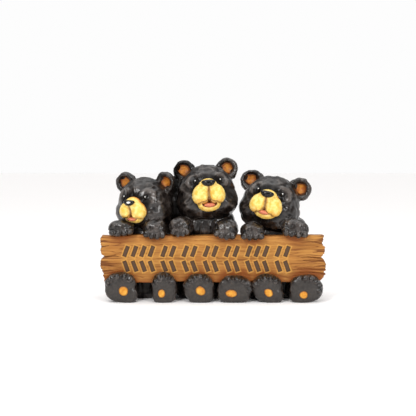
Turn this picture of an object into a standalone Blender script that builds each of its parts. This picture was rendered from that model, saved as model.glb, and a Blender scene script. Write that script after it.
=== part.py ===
"""Three black bears sitting in a row behind a rough plank, cast in resin in one piece.

The ground is Z 0, the bears look along -Y, and +X is the viewer's right.
Lengths are metres, angles are degrees.
"""

import math

import bmesh
import bpy
from mathutils import Matrix, Vector

NODE = "three_bears_with_plank"

# Plank
PLANK_LENGTH = 0.360
PLANK_HEIGHT = 0.0755
PLANK_THICKNESS = 0.020
PLANK_FRONT = -0.038
PLANK_LIFT = 0.0300
PLANK_EDGE_ROUND = 0.0016
PLANK_WAVE = 0.0006
PLANK_WAVE_LENGTH = 0.110
PLANK_WAVE_STEPS = 11
PLANK_TOP = PLANK_LIFT + PLANK_HEIGHT
PLANK_BACK = PLANK_FRONT + PLANK_THICKNESS

# Broken ends: share of the plank's height from its lower edge, and how far the wood is broken back there
LEFT_END = (
    (0.00, 0.0070), (0.12, 0.0050), (0.24, 0.0032), (0.32, 0.0006), (0.45, 0.0004), (0.50, 0.0025),
    (0.55, 0.0072), (0.60, 0.0022), (0.68, 0.0000), (0.74, 0.0010), (0.77, 0.0024), (0.81, 0.0010),
    (0.95, 0.0012), (1.00, 0.0022),
)
RIGHT_END = (
    (0.00, 0.0150), (0.04, 0.0095), (0.10, 0.0045), (0.18, 0.0016), (0.21, 0.0042), (0.25, 0.0014),
    (0.38, 0.0000), (0.47, 0.0040), (0.53, 0.0090), (0.61, 0.0030), (0.74, 0.0026), (0.82, 0.0074),
    (0.90, 0.0042), (1.00, 0.0052),
)

# Drying cracks: share of the height, length, and the distance of the outer tip from the plank's end
CRACK_WIDTH = 0.0019
CRACK_DEPTH = 0.0026
LEFT_CRACKS = ((0.55, 0.024, 0.004), (0.765, 0.015, -0.002), (0.36, 0.020, 0.003), (0.24, 0.018, 0.002))
RIGHT_CRACKS = ((0.53, 0.030, 0.007), (0.455, 0.024, 0.014), (0.275, 0.034, 0.016), (0.20, 0.022, 0.004))

# The carved sign: two rows of leaning strokes in groups, cut into the plank's face inside these margins
STROKE_GROUPS = (4, 2, 2, 2, 2, 3, 2)
SIGN_MARGIN_LEFT = 0.0342
SIGN_MARGIN_RIGHT = 0.0558
SIGN_MARGIN_TOP = 0.0162
SIGN_MARGIN_BOTTOM = 0.0162
STROKE_WIDTH = 0.0062
STROKE_DEPTH = 0.0020
STROKE_LEAN = 20.0
ROW_GAP = 0.0045
GROUP_GAP = 0.5

# The bears' skin: the grain its shapes are blended with, rounds of softening, and share of faces kept
SKIN_GRAIN = 0.0016
SKIN_SOFTENING_STEPS = 2
SKIN_FACES_KEPT = 0.022

# Bears. Each head's features are shares of its half width
HEAD_HALF_WIDTH = 0.0494
HEAD_FORWARD = 0.013
BODY_HALF_WIDTH = 0.054
BODY_DEPTH = 0.080
BODY_BITE = 0.004
BODY_MIDDLE = PLANK_BACK - BODY_BITE + BODY_DEPTH / 2
ARM_RADIUS = 0.0185
THIGH_RADIUS = 0.0270
ANKLE_RADIUS = 0.0160
FOOT_HEIGHT = 0.0484
FOOT_DEPTH = 0.022
SOLE_FRONT = PLANK_FRONT - 0.019
TOE_SPACING = 28.0
PAD_RISE = 0.0022
PAW_DEPTH = 0.030
PAW_OVERHANG = 0.012
TAIL_RADIUS = 0.011

# size: scale of the bear; head: across from the body's middle, above the plank's top; muzzle: its scale;
# turn: yaw to the viewer's right, pitch up, roll clockwise; ears: angle of each from the head's top;
# paws: across, middle above the plank's top, width, height, lean clockwise; each foot has its ball and heel
# (across, width), height as a share, lean of its row of toes, and pad (across, up, width, height, lean)
BEARS = (
    {
        "x": -0.1090, "size": 0.95, "head": (-0.0018, 0.0470), "turn": (-24.0, -2.0, 0.0), "muzzle": 0.90,
        "ears": (49.0, 46.0),
        "paws": ((-0.0372, 0.0112, 0.0433, 0.0240, -4.0), (0.0163, 0.0090, 0.0394, 0.0325, 4.0)),
        "feet": (
            {"ball": (-0.0376, 0.0528), "heel": (-0.0270, 0.0310), "height": 1.00, "toes": -12.0,
             "pad": (-0.0326, 0.0191, 0.0145, 0.0150, 0.0)},
            {"ball": (0.0308, 0.0412), "heel": (0.0300, 0.0365), "height": 0.97, "toes": 2.0,
             "pad": (0.0273, 0.0154, 0.0115, 0.0125, 0.0)},
        ),
    },
    {
        "x": -0.0080, "size": 1.00, "head": (-0.0022, 0.0645), "turn": (3.0, 11.0, -3.5), "muzzle": 1.00,
        "ears": (41.0, 43.0),
        "paws": ((-0.0449, 0.0130, 0.0345, 0.0300, -4.0), (0.0270, 0.0088, 0.0390, 0.0300, 12.0)),
        "feet": (
            {"ball": (-0.0148, 0.0504), "heel": (-0.0118, 0.0430), "height": 0.94, "toes": -18.0,
             "pad": (-0.0121, 0.0194, 0.0160, 0.0130, 35.0)},
            {"ball": (0.0424, 0.0571), "heel": (0.0408, 0.0500), "height": 0.88, "toes": 34.0,
             "pad": (0.0362, 0.0154, 0.0177, 0.0112, 4.0)},
        ),
    },
    {
        "x": 0.1040, "size": 1.00, "head": (-0.0096, 0.0470), "turn": (-12.0, 11.0, 11.5), "muzzle": 1.00,
        "ears": (53.0, 50.0),
        "paws": ((-0.0413, 0.0060, 0.0405, 0.0285, 3.0), (0.0262, 0.0108, 0.0450, 0.0295, 8.0)),
        "feet": (
            {"ball": (-0.0184, 0.0492), "heel": (-0.0101, 0.0345), "height": 0.93, "toes": -14.0,
             "pad": (-0.0169, 0.0164, 0.0146, 0.0116, 42.0)},
            {"ball": (0.0435, 0.0539), "heel": (0.0359, 0.0360), "height": 0.90, "toes": 46.0,
             "pad": (0.0381, 0.0131, 0.0125, 0.0115, 0.0)},
        ),
    },
)

# Where the left bear leans on the middle one the gap is filled: height above the plank's top, half sizes
LEAN_LIFT = 0.046
LEAN_HALF = (0.017, 0.022, 0.046)


def turned(yaw, pitch, roll):
    """Rotation of a head or limb: roll about the way it faces, tip up, then turn about the vertical."""
    return (
        Matrix.Rotation(math.radians(yaw), 4, "Z")
        @ Matrix.Rotation(math.radians(-pitch), 4, "X")
        @ Matrix.Rotation(math.radians(roll), 4, "Y")
    )


def ball(mesh, frame, centre, radii, detail=(16, 10), square=2.0, flare=0.0):
    """An egg in the given frame. square above 2 flattens its sides; flare widens it towards its top."""
    made = bmesh.ops.create_uvsphere(mesh, u_segments=detail[0], v_segments=detail[1], radius=1.0)["verts"]
    for vertex in made:
        way = vertex.co
        reach = sum(abs(part) ** square for part in way) ** (1.0 / square)
        x, y, z = way / reach
        x *= 1.0 + flare * z
        vertex.co = frame @ (Vector(centre) + Vector((x * radii[0], y * radii[1], z * radii[2])))


def limb(mesh, start, end, start_radius, end_radius):
    """A tapered limb with round ends: the two halves of a ball drawn apart."""
    start, end = Vector(start), Vector(end)
    facing = (end - start).to_track_quat("Z", "Y").to_matrix().to_4x4()
    made = bmesh.ops.create_uvsphere(mesh, u_segments=20, v_segments=12, radius=1.0)["verts"]
    for vertex in made:
        far = vertex.co.z > -1e-6
        middle, radius = (end, end_radius) if far else (start, start_radius)
        vertex.co = middle + (facing @ vertex.co) * radius


# Half of an ear's section, as shares of its radius: out from its middle, and back from its front
EAR_SECTION = (
    (0.00, 0.04), (0.34, 0.00), (0.50, -0.12), (0.62, -0.31), (0.82, -0.36), (0.96, -0.20),
    (1.00, 0.02), (0.86, 0.26), (0.50, 0.38), (0.00, 0.42),
)
EAR_STEPS = 24
EAR_DISH_SHIFT = 0.12


def ear(mesh, frame, radius):
    """A thick round ear spun about its own Y axis, its front dished towards its free edge, +Z."""
    profile = [mesh.verts.new((out * radius, back * radius, 0.0)) for out, back in EAR_SECTION]
    edges = [mesh.edges.new(pair) for pair in zip(profile, profile[1:])]
    before = set(mesh.verts) - set(profile)
    bmesh.ops.spin(
        mesh, geom=profile + edges, cent=(0, 0, 0), axis=(0, 1, 0), angle=2 * math.pi, steps=EAR_STEPS,
        use_merge=True,
    )
    made = [vertex for vertex in mesh.verts if vertex not in before]
    bmesh.ops.remove_doubles(mesh, verts=made, dist=radius * 0.001)
    made = [vertex for vertex in mesh.verts if vertex not in before]
    bmesh.ops.recalc_face_normals(mesh, faces=list({face for vertex in made for face in vertex.link_faces}))
    for vertex in made:
        out = math.hypot(vertex.co.x, vertex.co.z) / radius
        if vertex.co.y < 0.1 * radius and out < 0.7:
            vertex.co.z += EAR_DISH_SHIFT * radius
        vertex.co = frame @ vertex.co


def head_frame(bear):
    """Where a head sits and how it is turned, in shares of its half width."""
    across, lift = bear["head"]
    place = Matrix.Translation((bear["x"] + across, BODY_MIDDLE - HEAD_FORWARD, PLANK_TOP + lift))
    return place @ turned(*bear["turn"]) @ Matrix.Scale(HEAD_HALF_WIDTH * bear["size"], 4)


def muzzle_frame(bear):
    """The head's frame, drawn in towards the middle of the face where the muzzle is smaller."""
    middle = Matrix.Translation((0, -0.60, -0.02))
    return head_frame(bear) @ middle @ Matrix.Scale(bear["muzzle"], 4) @ middle.inverted()


def head(mesh, bear):
    """Skull, cheeks, brows, muzzle with its two lobes, chin, tongue and ears."""
    frame = head_frame(bear)
    muzzle = muzzle_frame(bear)
    ball(mesh, frame, (0, 0, 0), (0.94, 0.87, 0.92), (28, 18))
    ball(mesh, muzzle, (0, -0.74, -0.04), (0.40, 0.42, 0.36), (20, 12))
    ball(mesh, muzzle, (0, -0.86, 0.10), (0.31, 0.40, 0.27), (20, 12))
    ball(mesh, muzzle, (0, -0.80, -0.46), (0.37, 0.31, 0.22), (20, 12))
    ball(mesh, muzzle, (0, -0.99, -0.44), (0.16, 0.17, 0.09), (12, 8))
    for side, lean in zip((-1, 1), bear["ears"]):
        ball(mesh, frame, (side * 0.34, -0.08, -0.26), (0.66, 0.68, 0.62), (24, 16))
        ball(mesh, frame, (side * 0.40, -0.49, 0.50), (0.30, 0.24, 0.20), (16, 10))
        ball(mesh, muzzle, (side * 0.250, -0.92, -0.155), (0.290, 0.33, 0.295), (20, 12))
        out = math.radians(lean)
        spot = Matrix.Translation((side * 1.03 * math.sin(out), 0.14, 1.03 * math.cos(out)))
        ear(mesh, frame @ spot @ turned(-3.0 * side, 3.0, side * lean), 0.39)


def noses_and_eyes():
    """The small crisp shapes of each face, kept apart from the softened skin."""
    mesh = bmesh.new()
    for bear in BEARS:
        nose = (0, -1.21, 0.175)
        ball(mesh, muzzle_frame(bear), nose, (0.225, 0.16, 0.125), (12, 8), square=2.4, flare=0.25)
        for side in (-1, 1):
            ball(mesh, head_frame(bear), (side * 0.405, -0.69, 0.30), (0.080, 0.10, 0.100), (8, 6))
    return mesh


def body(mesh, bear):
    """Hips, chest, shoulders and tail. The belly runs into the back of the plank."""
    half = BODY_HALF_WIDTH * bear["size"]
    deep = BODY_DEPTH / 2
    frame = Matrix.Translation((bear["x"], BODY_MIDDLE, 0))
    shoulder = PLANK_TOP + bear["head"][1] - 0.70 * HEAD_HALF_WIDTH * bear["size"]
    hips = (half, deep, 0.44 * shoulder)
    chest = (0.92 * half, 0.94 * deep, 0.44 * shoulder)
    shoulders = (0.84 * half, 0.84 * deep, 0.26 * shoulder)
    ball(mesh, frame, (0, 0, 0.30 * shoulder), hips, (28, 16), square=2.4)
    ball(mesh, frame, (0, 0.05 * deep, 0.56 * shoulder), chest, (28, 16), square=2.3)
    ball(mesh, frame, (0, 0, 0.84 * shoulder), shoulders, (28, 12), square=2.3)
    neck = (bear["head"][0] * 0.6, 0, shoulder)
    ball(mesh, frame, neck, (0.66 * half, 0.76 * deep, 0.36 * half), (24, 12))
    ball(mesh, frame, (0, deep, 0.28 * shoulder), (TAIL_RADIUS, 0.8 * TAIL_RADIUS, 1.2 * TAIL_RADIUS))


def forepaw(mesh, bear, side, paw):
    """An arm laid over the plank's top edge, with a broad round paw and four short toes."""
    across, lift, width, height, lean = paw
    middle = Vector((bear["x"] + across, PLANK_FRONT - PAW_OVERHANG + PAW_DEPTH / 2, PLANK_TOP + lift))
    reach = 0.58 * BODY_HALF_WIDTH * bear["size"]
    shoulder = Vector((bear["x"] + side * reach, BODY_MIDDLE - 0.05 * BODY_DEPTH, PLANK_TOP + 0.6 * lift))
    wrist = middle + Vector((0, 0.35 * PAW_DEPTH, 0))
    limb(mesh, shoulder, wrist, ARM_RADIUS, 0.48 * height)
    frame = Matrix.Translation(middle) @ turned(0, 0, lean)
    palm = (0.48 * width, 0.47 * PAW_DEPTH, 0.48 * height)
    ball(mesh, frame, (0, 0, 0.01 * height), palm, (24, 14), square=2.3)
    for number in range(4):
        step = (number - 1.5) / 1.5
        toe = (step * 0.33 * width, -0.32 * PAW_DEPTH, (0.08 * abs(step) - 0.24) * height)
        ball(mesh, frame, toe, (0.13 * width, 0.17 * width, 0.26 * height), (12, 8))


def foot(mesh, bear, side, hind):
    """A leg under the plank, and a foot whose flat sole with its toes and round pad faces the viewer."""
    thick = FOOT_DEPTH / 2
    tall = FOOT_HEIGHT * hind["height"]
    middle = Vector((bear["x"] + hind["ball"][0], SOLE_FRONT + thick, 0))
    hip_across = side * 0.52 * BODY_HALF_WIDTH * bear["size"]
    hip = (bear["x"] + hip_across, BODY_MIDDLE - 0.2 * BODY_DEPTH, 0.7 * THIGH_RADIUS)
    limb(mesh, hip, middle + Vector((0, 0.6 * thick, 0.42 * tall)), THIGH_RADIUS, ANKLE_RADIUS)
    frame = Matrix.Translation(middle)
    half = 0.485 * hind["ball"][1]
    ball(mesh, frame, (0, 0, 0.50 * tall), (half, thick, 0.50 * tall), (28, 18), square=2.3)
    heel = (hind["heel"][0] - hind["ball"][0], 0, 0.26 * tall)
    ball(mesh, frame, heel, (0.5 * hind["heel"][1], 0.97 * thick, 0.32 * tall), (24, 14), square=2.7)
    for number in range(5):
        angle = math.radians((number - 2) * TOE_SPACING + hind["toes"])
        spot = (0.80 * half * math.sin(angle), -0.40 * thick, (0.50 + 0.38 * math.cos(angle)) * tall)
        spread = frame @ Matrix.Translation(spot) @ Matrix.Rotation(0.9 * angle, 4, "Y")
        ball(mesh, spread, (0, 0, 0), (0.20 * half, 0.70 * thick, 0.13 * tall), (12, 8))
    across, up, width, height, lean = hind["pad"]
    pad = Matrix.Translation((bear["x"] + across, SOLE_FRONT, up)) @ turned(0, 0, lean)
    ball(mesh, pad, (0, 0, 0), (width / 2, PAD_RISE, height / 2), (14, 8), square=2.2)


def wave(x):
    """How far the plank's upper and lower edges stray from straight."""
    turn = x / PLANK_WAVE_LENGTH
    return PLANK_WAVE * (math.sin(2 * math.pi * turn + 1.0) + math.sin(5 * turn))


def plank():
    """The board's outline with broken ends and wavy edges, drawn out to its thickness, rims rounded."""
    mesh = bmesh.new()
    half = PLANK_LENGTH / 2
    left = [(-half + back, share) for share, back in LEFT_END]
    right = [(half - back, share) for share, back in RIGHT_END]
    reach = half - PLANK_WAVE_LENGTH / 4
    along = [reach * (2 * step / PLANK_WAVE_STEPS - 1) for step in range(PLANK_WAVE_STEPS + 1)]
    outline = left + [(x, 1.0) for x in along] + right[::-1] + [(x, 0.0) for x in along[::-1]]
    corners = [
        mesh.verts.new((x, PLANK_FRONT, PLANK_LIFT + share * PLANK_HEIGHT + (2 * share - 1) * wave(x)))
        for x, share in outline
    ]
    face = mesh.faces.new(corners)
    made = bmesh.ops.extrude_face_region(mesh, geom=[face])["geom"]
    back = [item for item in made if isinstance(item, bmesh.types.BMVert)]
    bmesh.ops.translate(mesh, verts=back, vec=(0, PLANK_THICKNESS, 0))
    bmesh.ops.recalc_face_normals(mesh, faces=mesh.faces)
    rims = [edge for edge in mesh.edges if abs(edge.verts[0].co.y - edge.verts[1].co.y) < PLANK_EDGE_ROUND]
    bmesh.ops.bevel(
        mesh, geom=rims, offset=PLANK_EDGE_ROUND, segments=1, profile=0.5, affect="EDGES", material=-1,
        clamp_overlap=True,
    )
    return mesh


def stroke_places():
    """Middle, lean and height of each stroke, in two rows and in groups."""
    columns = sum(STROKE_GROUPS)
    lean = math.radians(STROKE_LEAN)
    sign_length = PLANK_LENGTH - SIGN_MARGIN_LEFT - SIGN_MARGIN_RIGHT
    height = (PLANK_HEIGHT - SIGN_MARGIN_TOP - SIGN_MARGIN_BOTTOM - ROW_GAP) / 2
    run = height * math.tan(lean) + STROKE_WIDTH / math.cos(lean)
    pitch = (sign_length - run) / (columns - 1 + GROUP_GAP * (len(STROKE_GROUPS) - 1))
    middle = PLANK_LIFT + SIGN_MARGIN_BOTTOM + height + ROW_GAP / 2
    x = -PLANK_LENGTH / 2 + SIGN_MARGIN_LEFT + run / 2
    for count in STROKE_GROUPS:
        for _ in range(count):
            for row in (-1, 1):
                yield x, middle + row * (height + ROW_GAP) / 2, row * STROKE_LEAN, height
            x += pitch
        x += GROUP_GAP * pitch


def block(mesh, centre, size, lean=0.0):
    """A box turned about Y by lean."""
    frame = Matrix.Translation(centre) @ Matrix.Rotation(math.radians(lean), 4, "Y")
    bmesh.ops.create_cube(mesh, size=1.0, matrix=frame @ Matrix.Diagonal((*size, 1.0)))


def strokes_cut():
    """Shallow leaning slots, one for each stroke."""
    mesh = bmesh.new()
    proud = 2 * STROKE_DEPTH
    for x, z, lean, height in stroke_places():
        long = height / math.cos(math.radians(lean)) - STROKE_WIDTH * math.tan(math.radians(abs(lean)))
        centre = (x, PLANK_FRONT + (STROKE_DEPTH - proud) / 2, z)
        block(mesh, centre, (STROKE_WIDTH, STROKE_DEPTH + proud, long), lean)
    return mesh


def cracks_cut():
    """Long thin lens shapes that run in from the plank's ends along the grain."""
    mesh = bmesh.new()
    for side, cracks in ((-1, LEFT_CRACKS), (1, RIGHT_CRACKS)):
        for share, length, inset in cracks:
            outer = side * (PLANK_LENGTH / 2 - inset)
            middle = (outer - side * length / 2, PLANK_FRONT, PLANK_LIFT + share * PLANK_HEIGHT)
            lens = (length / 2, CRACK_DEPTH, CRACK_WIDTH / 2)
            ball(mesh, Matrix.Translation(middle), (0, 0, 0), lens, (8, 4))
    return mesh


def ground_cut():
    """Everything below the ground, so that the casting stands flat."""
    mesh = bmesh.new()
    block(mesh, (0, 0, -FOOT_HEIGHT / 2), (2 * PLANK_LENGTH, PLANK_LENGTH + BODY_DEPTH, FOOT_HEIGHT))
    return mesh


def lean_fill(mesh):
    """Fills the narrow gap between the left bear's head and the middle one's."""
    left, middle = BEARS[:2]
    x = (left["x"] + left["head"][0] + middle["x"] + middle["head"][0]) / 2
    centre = (x, BODY_MIDDLE - HEAD_FORWARD, PLANK_TOP + LEAN_LIFT)
    ball(mesh, Matrix.Translation(centre), (0, 0, 0), LEAN_HALF)


def painted(name, colour, roughness):
    material = bpy.data.materials.new(name)
    material.use_nodes = True
    shader = material.node_tree.nodes["Principled BSDF"]
    shader.inputs["Base Color"].default_value = (*colour, 1.0)
    shader.inputs["Roughness"].default_value = roughness
    shader.inputs["Metallic"].default_value = 0.0
    return material


def as_object(name, mesh):
    data = bpy.data.meshes.new(name)
    mesh.normal_update()
    mesh.to_mesh(data)
    mesh.free()
    made = bpy.data.objects.new(name, data)
    bpy.context.scene.collection.objects.link(made)
    return made


def blend(target):
    """Joins a bear's overlapping shapes into one skin with soft creases, and thins its faces out."""
    skin = target.modifiers.new("skin", "REMESH")
    skin.mode = "VOXEL"
    skin.voxel_size = SKIN_GRAIN
    soften = target.modifiers.new("soften", "SMOOTH")
    soften.factor = 0.5
    soften.iterations = SKIN_SOFTENING_STEPS
    thin = target.modifiers.new("thin", "DECIMATE")
    thin.ratio = SKIN_FACES_KEPT


def combine(target, operation, name, mesh):
    """Adds the mesh to the target, or cuts it out."""
    other = as_object(name, mesh)
    other.hide_render = True
    other.display_type = "WIRE"
    step = target.modifiers.new(name, "BOOLEAN")
    step.operation = operation
    step.solver = "EXACT"
    step.object = other


def main():
    for old in list(bpy.data.objects):
        bpy.data.objects.remove(old)
    shapes = bmesh.new()
    for bear in BEARS:
        head(shapes, bear)
        body(shapes, bear)
        for side, paw, hind in zip((-1, 1), bear["paws"], bear["feet"]):
            forepaw(shapes, bear, side, paw)
            foot(shapes, bear, side, hind)
    lean_fill(shapes)
    casting = as_object(NODE, shapes)
    casting.data.materials.append(painted("painted_resin", (0.045, 0.040, 0.037), 0.5))
    blend(casting)
    combine(casting, "UNION", "noses_and_eyes", noses_and_eyes())
    combine(casting, "UNION", "plank", plank())
    combine(casting, "DIFFERENCE", "ground", ground_cut())
    combine(casting, "DIFFERENCE", "strokes", strokes_cut())
    combine(casting, "DIFFERENCE", "cracks", cracks_cut())


main()
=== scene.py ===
import math

import bmesh
import bpy
import numpy as np
from mathutils import Matrix, Vector


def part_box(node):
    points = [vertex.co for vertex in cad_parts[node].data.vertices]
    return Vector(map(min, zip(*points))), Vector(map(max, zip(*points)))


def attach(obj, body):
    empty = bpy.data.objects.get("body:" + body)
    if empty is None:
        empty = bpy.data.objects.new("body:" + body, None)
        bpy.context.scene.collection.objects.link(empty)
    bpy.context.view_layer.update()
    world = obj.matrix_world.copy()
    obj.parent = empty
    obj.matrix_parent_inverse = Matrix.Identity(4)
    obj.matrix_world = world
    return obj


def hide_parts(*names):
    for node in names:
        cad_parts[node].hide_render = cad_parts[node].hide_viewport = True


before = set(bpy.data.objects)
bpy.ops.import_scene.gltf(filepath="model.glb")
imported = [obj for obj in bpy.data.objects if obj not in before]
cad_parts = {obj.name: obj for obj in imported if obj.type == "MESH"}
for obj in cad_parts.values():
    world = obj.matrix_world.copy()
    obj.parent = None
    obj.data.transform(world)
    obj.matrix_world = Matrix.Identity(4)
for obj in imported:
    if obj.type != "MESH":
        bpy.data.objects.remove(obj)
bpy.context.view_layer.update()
CASTING = "three_bears_with_plank"
casting_low, casting_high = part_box(CASTING)


# The plank: the front of the casting, moulded from a rough board with broken ends and carved strokes.
# It is filled resin, cast in one with the bears, and hand painted to look like weathered golden pine.
PLANK_LENGTH = casting_high.x - casting_low.x
PLANK_HEIGHT = 0.0755
PLANK_THICKNESS = 0.020
PLANK_FRONT = -0.038
PLANK_LIFT = 0.0300
PLANK_ROUND = 0.0022
PLANK_WAVE = 0.0006
PLANK_WAVE_LENGTH = 0.110
PLANK_TOP = PLANK_LIFT + PLANK_HEIGHT
PLANK_BACK = PLANK_FRONT + PLANK_THICKNESS
GRAIN_COLUMNS = 500
GRAIN_ROWS = 124
EDGE_ROWS = 10
END_BLEND = 0.05
SPLINTER = 0.0012
TORN_REACH = 0.016

# Wood grain: sizes along, into and up the plank, and the relief of each
RING_SIZE = (0.085, 0.05, 0.0058)
RING_RELIEF = 0.00022
FIBRE_SIZE = (0.040, 0.01, 0.0021)
FIBRE_RELIEF = 0.00036
FINE_SIZE = (0.022, 0.01, 0.0011)
FINE_RELIEF = 0.00020
STREAK_SIZE = (0.055, 0.02, 0.0030)

# Broken ends: share of the plank's height from its lower edge, and how far the wood is broken back there
LEFT_END = (
    (0.00, 0.0070), (0.12, 0.0050), (0.24, 0.0032), (0.32, 0.0006), (0.45, 0.0004), (0.50, 0.0025),
    (0.55, 0.0072), (0.60, 0.0022), (0.68, 0.0000), (0.74, 0.0010), (0.77, 0.0024), (0.81, 0.0010),
    (0.95, 0.0012), (1.00, 0.0022),
)
RIGHT_END = (
    (0.00, 0.0150), (0.04, 0.0095), (0.10, 0.0045), (0.18, 0.0016), (0.21, 0.0042), (0.25, 0.0014),
    (0.38, 0.0000), (0.47, 0.0040), (0.53, 0.0090), (0.61, 0.0030), (0.74, 0.0026), (0.82, 0.0074),
    (0.90, 0.0042), (1.00, 0.0052),
)

# Drying cracks: share of the height, length, distance of the outer tip from the end, depth
LEFT_CRACKS = (
    (0.55, 0.026, 0.004, 0.0026), (0.77, 0.017, -0.002, 0.0016), (0.36, 0.020, 0.002, 0.0014),
    (0.24, 0.020, 0.002, 0.0016), (0.87, 0.012, 0.000, 0.0010), (0.44, 0.014, -0.001, 0.0010),
)
RIGHT_CRACKS = (
    (0.53, 0.034, 0.007, 0.0024), (0.455, 0.026, 0.012, 0.0016), (0.275, 0.040, 0.014, 0.0018),
    (0.20, 0.026, 0.003, 0.0018), (0.65, 0.022, 0.001, 0.0012), (0.84, 0.018, 0.006, 0.0014),
    (0.34, 0.020, 0.000, 0.0012),
)

# The carved sign: two rows of leaning strokes in groups inside these margins
STROKE_GROUPS = (4, 2, 2, 2, 2, 3, 2)
SIGN_MARGIN_LEFT = 0.0342
SIGN_MARGIN_RIGHT = 0.0558
SIGN_MARGIN = 0.0162
STROKE_WIDTH = 0.0066
STROKE_DEPTH = 0.0013
HALO_WIDTH = 0.0030
STROKE_LEAN = 20.0
ROW_GAP = 0.0045
GROUP_GAP = 0.5

LATTICE = np.random.RandomState(11).uniform(-1.0, 1.0, (64, 64, 64))


def lumps(places, size, shift=0.0):
    """Smooth random lumps from -1 to 1, of about that size, which is one number or one for each axis."""
    cell = np.asarray(places, float) / np.asarray(size, float) + shift
    corner = np.floor(cell).astype(int)
    part = cell - corner
    part = part * part * (3.0 - 2.0 * part)
    total = np.zeros(len(cell))
    for step in np.ndindex(2, 2, 2):
        weight = np.prod(np.where(np.array(step), part, 1.0 - part), axis=1)
        i, j, k = ((corner + step) % 64).T
        total += weight * LATTICE[i, j, k]
    return total


def soft_step(value, low_edge, high_edge):
    """0 below the low edge, 1 above the high edge, a smooth rise between. The edges may be swapped."""
    share = np.clip((value - low_edge) / (high_edge - low_edge), 0.0, 1.0)
    return share * share * (3.0 - 2.0 * share)


def stroke_places():
    """Middle, lean and height of each stroke, in two rows and in groups."""
    lean = math.radians(STROKE_LEAN)
    height = (PLANK_HEIGHT - 2 * SIGN_MARGIN - ROW_GAP) / 2
    run = height * math.tan(lean) + STROKE_WIDTH / math.cos(lean)
    steps = sum(STROKE_GROUPS) - 1 + GROUP_GAP * (len(STROKE_GROUPS) - 1)
    pitch = (PLANK_LENGTH - SIGN_MARGIN_LEFT - SIGN_MARGIN_RIGHT - run) / steps
    middle = PLANK_LIFT + SIGN_MARGIN + height + ROW_GAP / 2
    x = -PLANK_LENGTH / 2 + SIGN_MARGIN_LEFT + run / 2
    for count in STROKE_GROUPS:
        for _ in range(count):
            for row in (-1, 1):
                yield x, middle + row * (height + ROW_GAP) / 2, row * lean, height
            x += pitch
        x += GROUP_GAP * pitch


def outside_strokes(x, z):
    """How far each place on the plank's face is outside the nearest stroke; negative inside it."""
    nearest = np.full(len(x), 1.0)
    for across, up, lean, height in stroke_places():
        near = (abs(x - across) < height) & (abs(z - up) < height)
        dx, dz = x[near] - across, z[near] - up
        along = dx * math.sin(lean) + dz * math.cos(lean)
        side = dx * math.cos(lean) - dz * math.sin(lean)
        long = height / math.cos(lean) - STROKE_WIDTH * math.tan(abs(lean))
        gap = np.maximum(abs(side) - STROKE_WIDTH / 2, abs(along) - long / 2)
        nearest[near] = np.minimum(nearest[near], gap)
    return nearest


def crack_depth(x, z):
    """Depth of the drying cracks, which run in from the ends and close to a point."""
    depth = np.zeros(len(x))
    for side, cracks in ((-1, LEFT_CRACKS), (1, RIGHT_CRACKS)):
        for share, length, inset, deep in cracks:
            along = (side * (PLANK_LENGTH / 2 - inset) - x) * side / length
            bend = 0.0007 * np.sin(along * 5.0 + share * 20.0)
            half = 0.0013 * np.clip(1.0 - along, 0.0, 1.0) ** 0.7 + 0.0002
            off = abs(z - PLANK_LIFT - share * PLANK_HEIGHT - bend) / half
            inside = (along > -0.3) & (along < 1.0)
            depth = np.maximum(depth, np.where(inside, deep * np.clip(1.0 - off, 0.0, 1.0), 0.0))
    return depth


def wave(x):
    """How far the plank's upper and lower edges stray from straight."""
    long_wave = np.sin(2 * math.pi * x / PLANK_WAVE_LENGTH + 1.0)
    return PLANK_WAVE * (long_wave + np.sin(5 * x / PLANK_WAVE_LENGTH))


def get_points(mesh):
    places = np.empty(len(mesh.vertices) * 3)
    mesh.vertices.foreach_get("co", places)
    return places.reshape(-1, 3)


def get_normals(mesh):
    normals = np.empty(len(mesh.vertices) * 3, np.float32)
    mesh.vertex_normals.foreach_get("vector", normals)
    return normals.reshape(-1, 3).astype(float)


def set_points(mesh, places):
    mesh.vertices.foreach_set("co", places.astype(np.float32).ravel())
    mesh.update()


def mark(mesh, name, values):
    """Stores a number from 0 to 1 at each point, for the paint to read."""
    layer = mesh.attributes.new(name, "FLOAT", "POINT")
    layer.data.foreach_set("value", np.clip(values, 0.0, 1.0).astype(np.float32))


def as_piece(name, mesh):
    """Puts a finished bmesh or mesh into the scene as one smooth piece."""
    if isinstance(mesh, bmesh.types.BMesh):
        data = bpy.data.meshes.new(name)
        mesh.to_mesh(data)
        mesh.free()
    else:
        data = mesh
        data.name = name
    data.shade_smooth()
    piece = bpy.data.objects.new(name, data)
    bpy.context.scene.collection.objects.link(piece)
    return piece


def belongs(piece):
    """Every piece is part of the one casting."""
    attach(piece, "root")
    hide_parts(CASTING)


def hex_colour(text):
    """Linear colour from an sRGB hex value."""
    parts = [int(text[i:i + 2], 16) / 255 for i in (1, 3, 5)]
    return (*(p / 12.92 if p <= 0.04045 else ((p + 0.055) / 1.055) ** 2.4 for p in parts), 1.0)


def connect(tree, node, inputs):
    """Gives a node its inputs: a socket is linked, a value is set."""
    for name, value in inputs.items():
        if isinstance(value, bpy.types.NodeSocket):
            tree.links.new(value, node.inputs[name])
        else:
            node.inputs[name].default_value = value


def add(tree, kind, settings=None, inputs=None):
    """Adds a node with its settings and its inputs."""
    node = tree.nodes.new(kind)
    for name, value in (settings or {}).items():
        setattr(node, name, value)
    connect(tree, node, inputs or {})
    return node


def new_paint(name):
    """A fresh material, its nodes, its shader, and the places on the object that its patterns read."""
    material = bpy.data.materials.new(name)
    material.use_nodes = True
    tree = material.node_tree
    place = add(tree, "ShaderNodeTexCoord").outputs["Object"]
    return material, tree, tree.nodes["Principled BSDF"], place


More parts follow.
